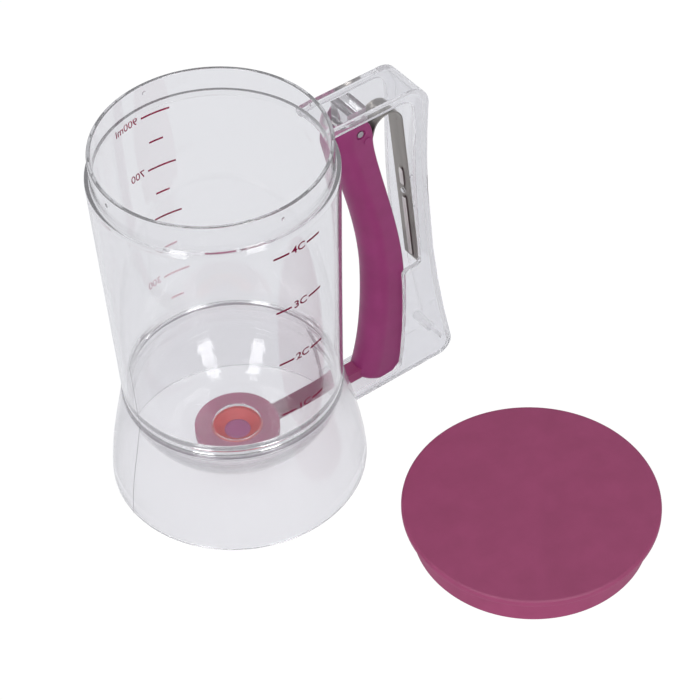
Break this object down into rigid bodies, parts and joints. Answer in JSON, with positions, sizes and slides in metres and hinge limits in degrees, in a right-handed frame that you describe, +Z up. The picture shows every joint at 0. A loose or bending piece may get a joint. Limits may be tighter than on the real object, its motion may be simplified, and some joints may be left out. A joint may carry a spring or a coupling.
{
  "type": "batter dispenser",
  "caption": "Clear jug with a funnel bottom and a squeeze trigger that opens its outlet valve, standing beside its press-on lid.",
  "frame": {"origin": "centre of the stand's foot ring, on the jug's axis and level with the table", "axes": "+Z up along the jug's axis, +X towards the handle"},
  "size_m": [0.1896, 0.229, 0.1835],
  "materials": {
    "clear_plastic": "clear moulded plastic",
    "spring_steel": "rolled strip",
    "steel_pin": "ground",
    "plum_plastic": "satin moulded plastic",
    "seal_silicone": "silicone",
    "button_plastic": "moulded plastic",
    "lid_plastic": "satin moulded plastic"
  },
  "bodies": {
    "jug": {"jug_wall": "clear_plastic", "funnel_bowl": "clear_plastic", "bowl_floor": "clear_plastic", "base_stand": "clear_plastic", "handle_frame": "clear_plastic", "return_spring": "spring_steel", "pivot_pin": "steel_pin"},
    "trigger": {"trigger_lever": "plum_plastic", "valve_arm": "plum_plastic", "valve_seal": "seal_silicone", "seal_button": "button_plastic"},
    "lid": {"lid": "lid_plastic"}
  },
  "joints": [
    {"name": "trigger_squeeze", "type": "hinge", "parent": "jug", "child": "trigger", "pos_m": [0.0681, 0, 0.1577], "axis": [0, -1, 0], "range_deg": [0, 7], "stiffness_Nm_per_rad": 3, "springref_deg": -2.86, "deforming": ["return_spring"]},
    {"name": "lid_lift", "type": "slide", "parent": "jug", "child": "lid", "axis": [0, 0, 1], "range_m": [0, 0.22]}
  ]
}
